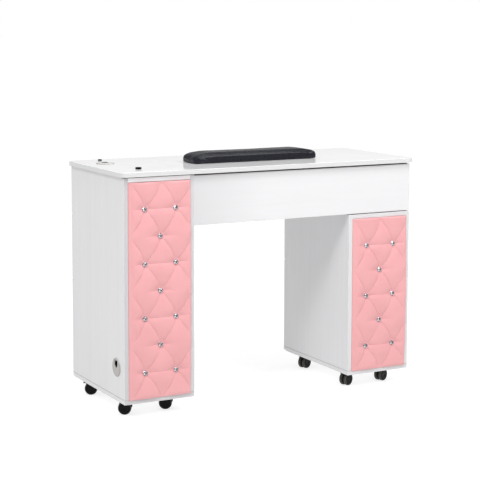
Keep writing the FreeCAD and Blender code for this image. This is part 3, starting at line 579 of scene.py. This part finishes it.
# Tufted panels --------------------------------------------------------------------------------

def button_centres(low, high):
    """Middle of each crystal button between two corners, found from its own vertices."""
    centres = []
    for vertex in frame["nodes"]["crystal_buttons"].data.vertices:
        x, z = vertex.co.x, vertex.co.z
        if not (low.x < x < high.x and low.z < z < high.z):
            continue
        for group in centres:
            if math.hypot(group[0][0] - x, group[0][1] - z) < 20 * MM:
                group.append((x, z))
                break
        else:
            centres.append([(x, z)])
    middles = []
    for group in centres:
        xs = [p[0] for p in group]
        zs = [p[1] for p in group]
        middles.append(((min(xs) + max(xs)) / 2, (min(zs) + max(zs)) / 2))
    return sorted(middles, key=lambda p: (round(p[1], 3), p[0]))


def tuft_lattice(buttons):
    """The buttons and the points where the pattern would go on past the panel's edges."""
    heights = sorted({round(z, 3) for _, z in buttons})
    pitch = heights[1] - heights[0]
    pair = [x for x, z in buttons if round(z, 3) == heights[0]]
    middle = sum(pair) / 2
    reach = pair[1] - middle
    lattice = []
    for row in range(-2, len(heights) + 2):
        z = heights[0] + row * pitch
        columns = (-3, -1, 1, 3) if row % 2 == 0 else (-4, -2, 0, 2, 4)
        lattice += [(middle + c * reach, z) for c in columns]
    return lattice, reach, pitch


def crease_samples(lattice, reach, pitch):
    """Points along every diagonal crease with their share of the way between two buttons."""
    samples = []
    steps = np.linspace(0.0, 1.0, 40)
    for x, z in lattice:
        for side in (-1, 1):
            end = (x + side * reach, z - pitch)
            bow = CREASE_BOW * MM * np.sin(np.pi * steps)
            xs = x + (end[0] - x) * steps + bow
            zs = z + (end[1] - z) * steps
            samples.append(np.stack([xs, zs, steps], axis=1))
    return np.concatenate(samples)


def relax(height, source, pull, target, rounds):
    """Spread a membrane over a grid: free edges, pressed by source, pulled to target."""
    for _ in range(rounds):
        padded = np.pad(height, 1, mode="edge")
        around = (padded[:-2, 1:-1] + padded[2:, 1:-1] + padded[1:-1, :-2] + padded[1:-1, 2:]) / 4
        height = (around + source + pull * target) / (1 + pull)
    return height


def nearest_crease(gx, gz, buttons):
    """Distance in millimetres to the nearest crease, and the share of the way along it."""
    distance = np.full(gx.shape, 1e9)
    share = np.zeros(gx.shape)
    for x, z, step in crease_samples(*tuft_lattice(buttons)):
        squared = (gx - x) ** 2 + (gz - z) ** 2
        nearer = squared < distance
        distance = np.where(nearer, squared, distance)
        share = np.where(nearer, step, share)
    return np.sqrt(distance) / MM, share


def button_fields(gx, gz, buttons):
    """Distance to the nearest button, depth of the level folds, and small puckers, in mm."""
    middle = sum(x for x, _ in buttons) / len(buttons)
    nearest = np.full(gx.shape, 1e9)
    valley = np.zeros(gx.shape)
    pucker = np.zeros(gx.shape)
    for index, (x, z) in enumerate(buttons):
        across = (gx - x) / MM
        above = (gz - z) / MM
        distance = np.hypot(across, above)
        nearest = np.minimum(nearest, distance)
        between_pair = across * (middle - x) > 1.0 * MM
        length = np.where(between_pair, FOLD_LENGTH_BETWEEN, FOLD_LENGTH_OUTSIDE)
        reach = np.where(above > 0, ROW_REACH_ABOVE, ROW_REACH_BELOW)
        fold = np.exp(-np.abs(above) / reach) * np.exp(-(across / length) ** 2)
        valley = np.maximum(valley, ROW_VALLEY * fold)
        angle = np.arctan2(above, across)
        wave = np.sin(angle * 9 + index * 1.7) + 0.6 * np.sin(angle * 14 + index * 2.9)
        pucker += PUCKER_HEIGHT * wave * np.exp(-((distance - 12.0) / 5.0) ** 2)
    return nearest, valley, pucker


def pillow_heights(xs, zs, buttons):
    """Height of the tufted fabric in millimetres over a grid, and where it is held down."""
    gx, gz = np.meshgrid(xs, zs)
    crease, share = nearest_crease(gx, gz, buttons)
    button, valley, pucker = button_fields(gx, gz, buttons)
    fade = crease_fade(gx, gz)
    grid = PAD_GRID / MM
    source = np.full(gx.shape, PILLOW_PRESSURE * grid * grid / 4)
    seat = button < SEAT_RADIUS
    pull = np.where(seat, 50.0, 0.35 * fade * np.exp(-(crease / 1.8) ** 2))
    target = np.where(seat, 0.0, CREASE_MIDDLE * np.sin(np.pi * share) ** 0.45)
    height = relax(np.full(gx.shape, 4.0), source, pull, target, MEMBRANE_ROUNDS)
    groove = CREASE_DEPTH * np.exp(-crease / CREASE_WIDTH) * fade
    near_seat = np.clip((button - 7.0) / 7.0, 0.0, 1.0)
    folded = height - (groove + valley * np.sqrt(fade)) * near_seat + pucker
    held = (button < SEAT_RADIUS + 2.0) | ((crease < 2.5) & (fade > 0.3))
    return np.where(seat, height, np.maximum(folded, -2.0)), held


def crease_fade(gx, gz):
    """0 at the border, where the creases end, and 1 away from it."""
    insets = (gx - gx.min(), gx.max() - gx, gz - gz.min(), gz.max() - gz)
    fade = np.ones(gx.shape)
    for inset, (start, end) in zip(insets, CREASE_FADES):
        share = np.clip((inset / MM - start) / (end - start), 0.0, 1.0)
        fade *= share * share * (3 - 2 * share)
    return fade


def rounded_curve(border, quality):
    """A curve through a border's steps with its corners rounded off."""
    dense = np.linspace(0.0, 1.0, 101)
    curve = np.interp(dense, border["share"], border[quality])
    padded = np.concatenate([np.full(4, curve[0]), curve, np.full(4, curve[-1])])
    curve[1:-1] = np.convolve(padded, np.full(9, 1 / 9), "valid")[1:-1]
    return dense, curve


class Crossing:
    """How a line of grid points passes over the borders at its two ends."""

    def __init__(self, points, start, end):
        from_start = (points - points[0]) / (start[1] * MM)
        from_end = (points[-1] - points) / (end[1] * MM)
        at_start = from_start < from_end
        share = np.minimum(np.where(at_start, from_start, from_end), 1.0)
        width = np.where(at_start, start[1], end[1]) * MM
        edge = np.where(at_start, points[0], points[-1])

        def along(quality):
            """One quality of the borders along the line."""
            at_first = np.interp(share, *rounded_curve(start[0], quality))
            return np.where(at_start, at_first, np.interp(share, *rounded_curve(end[0], quality)))

        self.inward = np.where(at_start, 1.0, -1.0)
        self.points = np.where(share < 1.0, edge + self.inward * width * along("inward"), points)
        self.bulge = along("bulge") * MM
        self.rise = along("rise")
        self.height = along("height")


def resampled(values, old_x, old_z, new_x, new_z):
    """Values on a coarse grid, spread to a finer one."""
    rows = np.array([np.interp(new_x, old_x, row) for row in values])
    return np.array([np.interp(new_z, old_z, column) for column in rows.T]).T


def swollen(xs, zs, gy, held, material):
    """How far simulated fabric swells out between its held places, over the same grid."""
    cx = xs[::SWELL_STEP]
    cz = zs[::SWELL_STEP]
    sheet = gy[::SWELL_STEP, ::SWELL_STEP]
    gx, gz = np.meshgrid(cx, cz)
    vertices = np.stack([gx, sheet, gz], axis=2).reshape(-1, 3)
    piece = new_piece("swelling_sheet", vertices, grid_faces(len(cz), len(cx)), material, "table")
    pinned = held[::SWELL_STEP, ::SWELL_STEP].copy()
    pinned[[0, -1], :] = True
    pinned[:, [0, -1]] = True
    inflate(piece, np.flatnonzero(pinned.ravel()), PAD_PRESSURE, PAD_SWELL)
    moved = np.array([v.co.y for v in piece.data.vertices]).reshape(sheet.shape)
    bpy.data.objects.remove(piece)
    swell = relax(moved - sheet, 0.0, 0.0, 0.0, 4)
    return resampled(swell, cx, cz, xs, zs)


def grid_faces(rows, columns):
    """Quads of a grid of vertices stored row by row."""
    faces = []
    for j in range(rows - 1):
        for i in range(columns - 1):
            a = j * columns + i
            faces.append((a, a + 1, a + columns + 1, a + columns))
    return faces


def closed_sheet(points, back):
    """Vertices and faces of a grid of points, closed by side walls and a flat back."""
    rows, columns = points.shape[:2]
    vertices = [tuple(v) for v in points.reshape(-1, 3)]
    faces = grid_faces(rows, columns)
    rim = list(range(columns))
    rim += [j * columns + columns - 1 for j in range(1, rows)]
    rim += [(rows - 1) * columns + i for i in range(columns - 2, -1, -1)]
    rim += [j * columns for j in range(rows - 2, 0, -1)]
    first = len(vertices)
    vertices += [(vertices[i][0], back, vertices[i][2]) for i in rim]
    count = len(rim)
    for k in range(count):
        n = (k + 1) % count
        faces.append((rim[n], rim[k], first + k, first + n))
    faces.append(tuple(first + k for k in range(count)))
    return vertices, faces


def tufted_pad(node, material):
    """Fabric pulled in by buttons over foam, bulging over the boards round it."""
    low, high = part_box(node)
    columns = int(round((high.x - low.x) / PAD_GRID)) + 1
    rows = int(round((high.z - low.z) / PAD_GRID)) + 1
    xs = np.linspace(low.x, high.x, columns)
    zs = np.linspace(low.z, high.z, rows)
    height, held = pillow_heights(xs, zs, button_centres(low, high))
    height -= swollen(xs, zs, -height * MM, held, material) / MM
    bulge = PAD_BULGES[node]
    across = Crossing(xs, LEFT_BORDER, RIGHT_BORDER)
    upward = Crossing(zs, BOTTOM_BORDER, TOP_BORDER)
    arch = np.sin(np.pi * (zs - zs[0]) / (zs[-1] - zs[0]))
    belly = bulge["right"] + (bulge["right_middle"] - bulge["right"]) * arch
    side_bulge = np.where(across.inward > 0, bulge["left"], belly[:, None])
    end_bulge = np.where(upward.inward > 0, bulge["bottom"], bulge["top"])
    gx = across.points - across.inward * across.bulge * side_bulge
    gz = (upward.points - upward.inward * upward.bulge * end_bulge)[:, None] + np.zeros(gx.shape)
    side_nearer = across.height < upward.height[:, None]
    share = np.minimum(across.height, upward.height[:, None])
    rise = np.where(side_nearer, across.rise, upward.rise[:, None])
    board_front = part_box("left_outer_side")[0].y
    behind_board = low.y + BUTTON_SEAT - board_front
    gy = board_front - (rise + share * (height - behind_board / MM)) * MM
    vertices, faces = closed_sheet(np.stack([gx, gy, gz], axis=2), high.y)
    piece = new_piece(f"{node}_fabric", vertices, faces, material, "table")
    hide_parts(node)


# Armrest --------------------------------------------------------------------------------------

def rounded_loaf(low, high):
    """Vertices and faces of a box with rounded upright corners and a rounded upper rim."""
    centre = (low + high) / 2
    half = (high - low) / 2
    roll = ARMREST_ROLL
    levels = [(0.0, low.z + (high.z - low.z - roll) * k / 4) for k in range(4)]
    for k in range(LOAF_STEPS + 1):
        angle = math.pi / 2 * k / LOAF_STEPS
        levels.append((roll * (1 - math.cos(angle)), high.z - roll + roll * math.sin(angle)))
    vertices = []
    for inset, z in levels:
        radius = ARMREST_CORNER - inset * 0.5
        for quarter, (sx, sy) in enumerate(((1, 1), (-1, 1), (-1, -1), (1, -1))):
            for k in range(LOAF_STEPS + 1):
                angle = math.pi / 2 * (quarter + k / LOAF_STEPS)
                x = centre.x + sx * (half.x - inset - radius) + radius * math.cos(angle)
                y = centre.y + sy * (half.y - inset - radius) + radius * math.sin(angle)
                vertices.append((x, y, z))
    count = 4 * (LOAF_STEPS + 1)
    faces = [tuple(range(count))[::-1]]
    for ring in range(len(levels) - 1):
        faces += ring_faces(ring * count, (ring + 1) * count, count)
    last = len(vertices) - count
    faces.append(tuple(range(last, last + count)))
    return vertices, faces


def apply_modifiers(piece):
    """Bake a piece's modifiers into its mesh."""
    graph = bpy.context.evaluated_depsgraph_get()
    baked = bpy.data.meshes.new_from_object(piece.evaluated_get(graph))
    piece.modifiers.clear()
    piece.data = baked


def inflate(piece, pinned, pressure, cap):
    """Blow fabric up from inside, hold the pinned points and limit how far the others go."""
    start = np.array([v.co for v in piece.data.vertices])
    group = piece.vertex_groups.new(name="held")
    for index in pinned:
        group.add([int(index)], 1.0, "REPLACE")
    cloth = piece.modifiers.new("inflate", "CLOTH")
    settings = cloth.settings
    settings.quality = 6
    settings.mass = 0.3
    settings.tension_stiffness = CLOTH_STIFFNESS
    settings.compression_stiffness = CLOTH_STIFFNESS
    settings.shear_stiffness = CLOTH_STIFFNESS / 3
    settings.bending_stiffness = CLOTH_BENDING
    settings.use_pressure = True
    settings.uniform_pressure_force = pressure
    settings.vertex_group_mass = "held"
    settings.effector_weights.gravity = 0.0
    settings.shrink_min = -0.01
    cloth.collision_settings.use_collision = False
    cloth.collision_settings.use_self_collision = False
    cloth.point_cache.frame_start = 1
    cloth.point_cache.frame_end = CLOTH_FRAMES
    scene = bpy.context.scene
    for number in range(1, CLOTH_FRAMES + 1):
        scene.frame_set(number)
    graph = bpy.context.evaluated_depsgraph_get()
    moved = np.array([v.co for v in piece.evaluated_get(graph).data.vertices])
    piece.modifiers.clear()
    piece.vertex_groups.clear()
    scene.frame_set(1)
    step = moved - start
    length = np.linalg.norm(step, axis=1, keepdims=True)
    step = step * np.minimum(1.0, cap / np.maximum(length, 1e-9))
    piece.data.vertices.foreach_set("co", (start + step).ravel())
    piece.data.update()


def armrest(material):
    """Foam under black faux leather, sewn along its upper edge and at its front corners."""
    low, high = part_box("armrest_cushion")
    inset = Vector((ARMREST_INSET, ARMREST_INSET, 0.0))
    top = Vector((0.0, 0.0, ARMREST_INSET))
    hem = Vector((0.0, 0.0, ARMREST_HEM_DROP))
    vertices, faces = rounded_loaf(low + inset - hem, high - inset - top)
    piece = new_piece("armrest_fabric", vertices, faces, material, "armrest")
    remesh = piece.modifiers.new("remesh", "REMESH")
    remesh.mode = "VOXEL"
    remesh.voxel_size = ARMREST_VOXEL
    apply_modifiers(piece)
    held = [v.index for v in piece.data.vertices if v.co.z < low.z + 3 * MM]
    inflate(piece, held, ARMREST_PRESSURE, ARMREST_SWELL)
    subdivision = piece.modifiers.new("subdivide", "SUBSURF")
    subdivision.levels = 1
    subdivision.render_levels = 1
    apply_modifiers(piece)
    shape_armrest(piece, low, high)
    piece.data.materials.clear()
    piece.data.materials.append(material)
    piece.data.polygons.foreach_set("use_smooth", [True] * len(piece.data.polygons))
    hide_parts("armrest_cushion")


def shape_armrest(piece, low, high):
    """Slope the ends, sink the sewn seams and hollow the underside for its board."""
    co = np.array([v.co for v in piece.data.vertices])
    low = np.array(low)
    high = np.array(high)
    middle = (low + high) / 2
    half = (high - low) / 2
    from_end = half[0] - np.abs(co[:, 0] - middle[0])
    from_side = half[1] - np.abs(co[:, 1] - middle[1])
    slope = np.clip(1 - from_end / ARMREST_END, 0.0, 1.0) ** 2
    co[:, 2] = low[2] + (co[:, 2] - low[2]) * (1 - ARMREST_END_DROP * slope)
    seam_z = low[2] + ARMREST_SEAM * (1 - ARMREST_END_DROP * slope)
    rim = np.minimum(from_end, from_side) < 9 * MM
    ripple = 0.8 + 0.2 * np.sin(co[:, 0] * 700.0 + 3 * np.sin(co[:, 0] * 90.0))
    piping = np.exp(-((co[:, 2] - seam_z) / (1.5 * MM)) ** 2) * rim * ripple
    front = co[:, 1] < middle[1]
    corner = np.exp(-((from_end - from_side) / (2.0 * MM)) ** 2) * front * rim * (co[:, 2] < seam_z)
    inward = (middle - co) * np.array([1.0, 1.0, 0.0])
    inward[:, 0] = np.where(from_end < from_side, inward[:, 0], 0.0)
    inward[:, 1] = np.where(from_end < from_side, 0.0, inward[:, 1])
    inward /= np.maximum(np.linalg.norm(inward, axis=1, keepdims=True), 1e-9)
    co += inward * ((1.4 * piping + 1.5 * corner) * MM)[:, None]
    under = (co[:, 2] < low[2] + 3 * MM) & (np.minimum(from_end, from_side) > ARMREST_POCKET)
    co[:, 2] = np.where(under, low[2] + ARMREST_POCKET_DEPTH, np.maximum(co[:, 2], low[2]))
    piece.data.vertices.foreach_set("co", co.ravel())
    piece.data.update()


# Lamp holes -----------------------------------------------------------------------------------

def lamp_hole_rims(material):
    """A low black rim round each lamp hole."""
    vertices = []
    faces = []
    for mount, height, wall in LAMP_RIMS:
        bore = bore_mount(mount)
        r = bore["dims"]["r_mm"] + 0.05
        outline = ((r, 0.0), (r, height - 0.4), (r + 0.3, height), (r + wall - 0.3, height),
                   (r + wall, height - 0.4), (r + wall, 0.0))
        x, y, _ = bore["pos_m"]
        place = Matrix.Translation((x, y, WORKTOP_TOP))
        rim_vertices, rim_faces = turned_outline(outline, place, closed=True)
        faces += [tuple(len(vertices) + i for i in face) for face in rim_faces]
        vertices += rim_vertices
    piece = new_piece("lamp_hole_rims", vertices, faces, material, "table", smooth=False)


# Caster wheels --------------------------------------------------------------------------------

WHEEL_INNER_FACE = 4.5 * MM   # from the caster's middle plane
TREAD_OUTLINE = (   # radius and distance from the wheel's inner face, in millimetres
    (3.4, 0.0), (18.5, 0.0), (20.4, 0.15), (21.2, 0.7), (21.5, 1.6), (21.5, 6.6), (21.3, 7.8),
    (20.7, 9.0), (19.8, 10.0), (18.9, 10.5), (18.5, 10.3), (18.2, 9.7), (17.6, 9.4),
)
HUB_OUTLINE = (
    (18.1, 9.0), (18.05, 10.3), (17.7, 10.8), (16.6, 11.1), (10.0, 11.45), (9.6, 11.2), (9.2, 11.5),
    (4.0, 11.5), (3.7, 11.1), (3.2, 11.0), (0.0, 11.0),
)


def caster_wheels(name, tread, hub):
    """Tread rings and hub discs of one caster's two wheels."""
    spin = joint_named(f"{name}_spin")
    centre = Vector(spin["pos_m"])
    axle = Vector(spin["axis"]).normalized()
    node = f"{name}_caster_wheels"
    for part, outline, material in (("tread", TREAD_OUTLINE, tread), ("hub", HUB_OUTLINE, hub)):
        vertices = []
        faces = []
        for way in (-1, 1):
            turn = Vector((0, 0, 1)).rotation_difference(axle * way).to_matrix().to_4x4()
            place = Matrix.Translation(centre + axle * way * WHEEL_INNER_FACE) @ turn
            wheel_vertices, wheel_faces = turned_outline(outline, place)
            offset = len(vertices)
            vertices += wheel_vertices
            faces += [tuple(offset + i for i in face) for face in wheel_faces]
        piece = new_piece(f"{name}_wheel_{part}s", vertices, faces, material, f"{name}_wheels")
        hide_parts(node)


# Stage, light and camera ----------------------------------------------------------------------

def make_floor():
    """Paper that glows a little, so it stays white far away and carries only a faint shadow."""
    mesh = bpy.data.meshes.new("floor")
    reach = 400.0
    corners = [(-reach, -reach, 0), (reach, -reach, 0), (reach, reach, 0), (-reach, reach, 0)]
    mesh.from_pydata(corners, [], [(0, 1, 2, 3)])
    floor = bpy.data.objects.new("floor", mesh)
    bpy.context.scene.collection.objects.link(floor)
    r = Recipe("floor_paper")
    r.colour(r.blended(r.noise(2.0, detail=2.0), PAPER, PAPER_SHADE))
    r.set(Roughness=0.9, Specular_IOR_Level=0.0, Emission_Strength=FLOOR_GLOW)
    r.shader.inputs["Emission Color"].default_value = (1.0, 1.0, 1.0, 1.0)
    mesh.materials.append(r.material)


def area_light(name, place, aim, size, power):
    """A rectangular softbox."""
    data = bpy.data.lights.new(name, "AREA")
    data.shape = "RECTANGLE"
    data.size = size[0]
    data.size_y = size[1]
    data.energy = power
    light = bpy.data.objects.new(name, data)
    bpy.context.scene.collection.objects.link(light)
    light.location = place
    light.rotation_euler = (Vector(aim) - Vector(place)).to_track_quat("-Z", "Y").to_euler()


def make_sky():
    """A studio world: white at the horizon, dimmer above it, bright overhead."""
    world = bpy.data.worlds.new("studio")
    bpy.context.scene.world = world
    world.use_nodes = True
    nodes = world.node_tree.nodes
    links = world.node_tree.links
    split = nodes.new("ShaderNodeSeparateXYZ")
    links.new(nodes.new("ShaderNodeTexCoord").outputs["Generated"], split.inputs["Vector"])
    ramp = nodes.new("ShaderNodeValToRGB")
    ramp.color_ramp.elements.remove(ramp.color_ramp.elements[1])
    for index, (height, grey) in enumerate(SKY_STEPS):
        stop = ramp.color_ramp.elements[0] if index == 0 else ramp.color_ramp.elements.new(height)
        stop.position = height
        stop.color = (grey, grey, grey, 1.0)
    links.new(split.outputs["Z"], ramp.inputs["Fac"])
    links.new(ramp.outputs["Color"], nodes["Background"].inputs["Color"])


def make_light():
    """The studio world and its softboxes."""
    make_sky()
    for name, (place, aim, size, power) in LIGHTS.items():
        area_light(name, place, aim, size, power)


def make_camera():
    """The view of the fitted camera."""
    data = bpy.data.cameras.new("camera")
    data.lens = CAMERA_LENS
    data.sensor_width = 36.0
    data.shift_y = CAMERA_SHIFT
    data.clip_end = 100.0
    forward = Vector((math.sin(CAMERA_YAW) * math.cos(CAMERA_PITCH),
                      math.cos(CAMERA_YAW) * math.cos(CAMERA_PITCH),
                      -math.sin(CAMERA_PITCH)))
    right = Vector((math.cos(CAMERA_YAW), -math.sin(CAMERA_YAW), 0.0))
    up = right.cross(forward)
    turned_right = right * math.cos(CAMERA_ROLL) + up * math.sin(CAMERA_ROLL)
    turned_up = up * math.cos(CAMERA_ROLL) - right * math.sin(CAMERA_ROLL)
    camera = bpy.data.objects.new("camera", data)
    bpy.context.scene.collection.objects.link(camera)
    basis = Matrix((turned_right, turned_up, -forward)).transposed().to_4x4()
    camera.matrix_world = Matrix.Translation(CAMERA_PLACE) @ basis
    bpy.context.scene.camera = camera


def main():
    """Dress the model and set the stage."""
    materials = make_materials()
    dress_cad_nodes(materials)
    for node in PAD_BULGES:
        tufted_pad(node, materials["pink_faux_leather"])
    armrest(materials["black_faux_leather"])
    swivels = [j["name"][:-len("_swivel")] for j in frame["joints"] if j["name"].endswith("_swivel")]
    for name in swivels:
        caster_wheels(name, materials["wheel_plastic"], materials["black_nylon"])
    lamp_hole_rims(materials["black_nylon"])
    make_floor()
    make_light()
    make_camera()
    bpy.context.scene.view_settings.view_transform = "Standard"


main()
